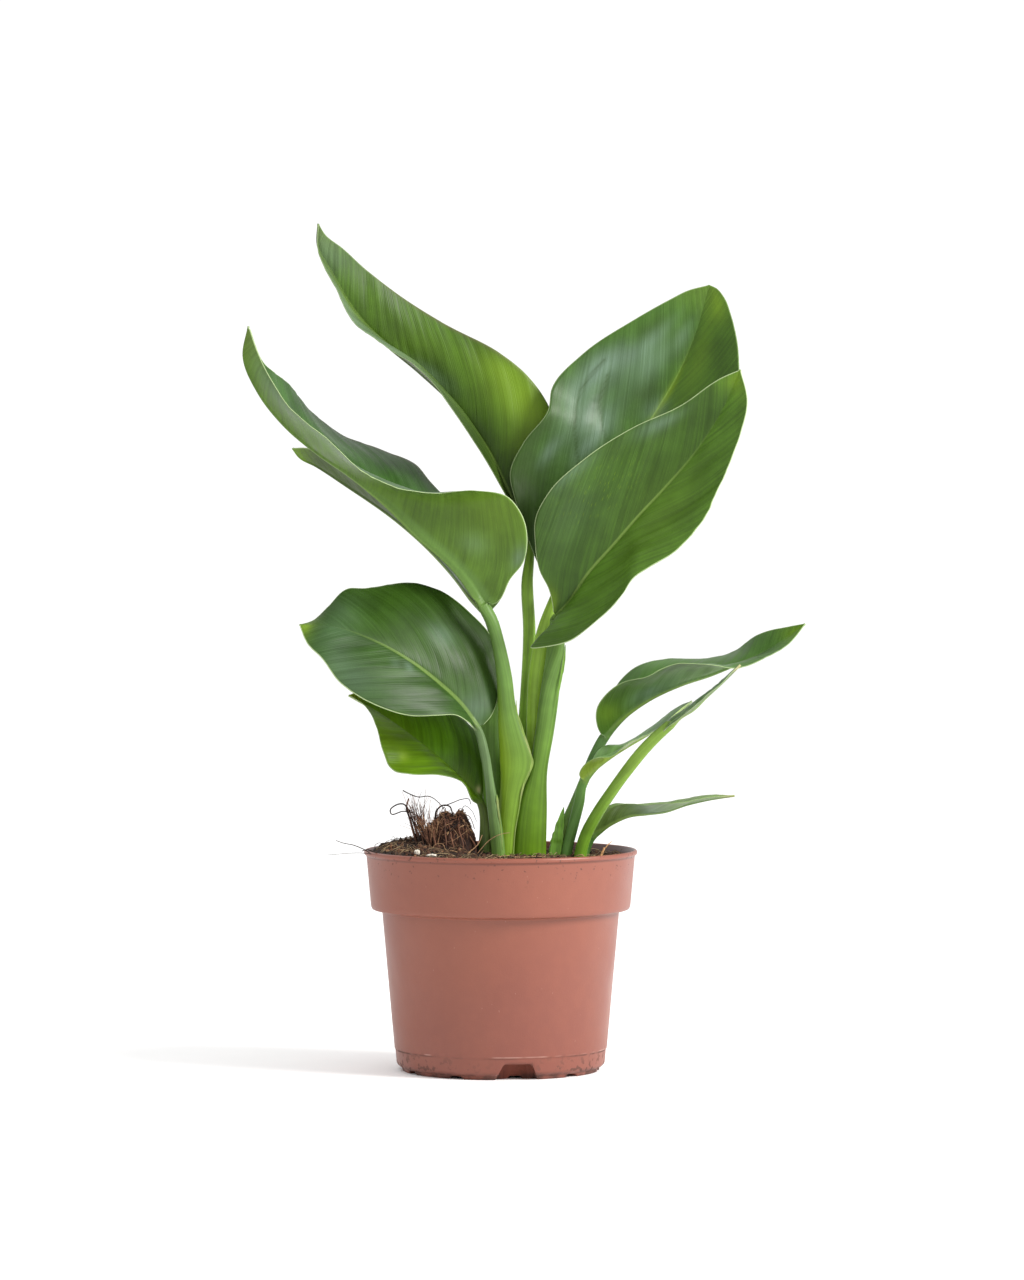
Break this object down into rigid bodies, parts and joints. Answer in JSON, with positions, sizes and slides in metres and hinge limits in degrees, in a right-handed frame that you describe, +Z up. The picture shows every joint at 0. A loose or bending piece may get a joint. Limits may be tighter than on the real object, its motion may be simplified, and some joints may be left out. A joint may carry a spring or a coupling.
{
  "type": "potted bird of paradise plant",
  "caption": "Young bird-of-paradise plant with broad pointed leaves on long stalks, standing in peat in a round plastic nursery pot with a deep rim band.",
  "frame": {"origin": "centre of the pot's flat underside, on the surface it stands on", "axes": "+Z up along the pot's axis, -Y towards the side that the picture shows, +X to its right"},
  "size_m": [0.2875, 0.14, 0.4332],
  "materials": {
    "terracotta_plastic": "moulded terracotta-coloured plastic with a satin sheen, scuffed near the foot",
    "peat": "moist dark brown peat with fibres",
    "old_root": "dry reddish brown root fibre",
    "leaf_dark": "dark green leaf with a waxy sheen",
    "leaf_mid": "mid-green leaf with a waxy sheen",
    "leaf_light": "yellow-green leaf, a little translucent"
  },
  "bodies": {
    "root": {"pot": "terracotta_plastic", "soil": "peat", "root_clump": "old_root", "leaf_main_upper_left": "leaf_light", "leaf_main_upper_right": "leaf_dark", "leaf_main_front_right": "leaf_mid", "leaf_main_left": "leaf_mid", "leaf_main_left_under": "leaf_mid", "leaf_left_broad": "leaf_dark", "leaf_left_low": "leaf_light", "leaf_right_tall": "leaf_mid", "leaf_right_twisted": "leaf_dark", "leaf_right_stem": "leaf_light", "leaf_right_low": "leaf_dark"}
  },
  "joints": []
}
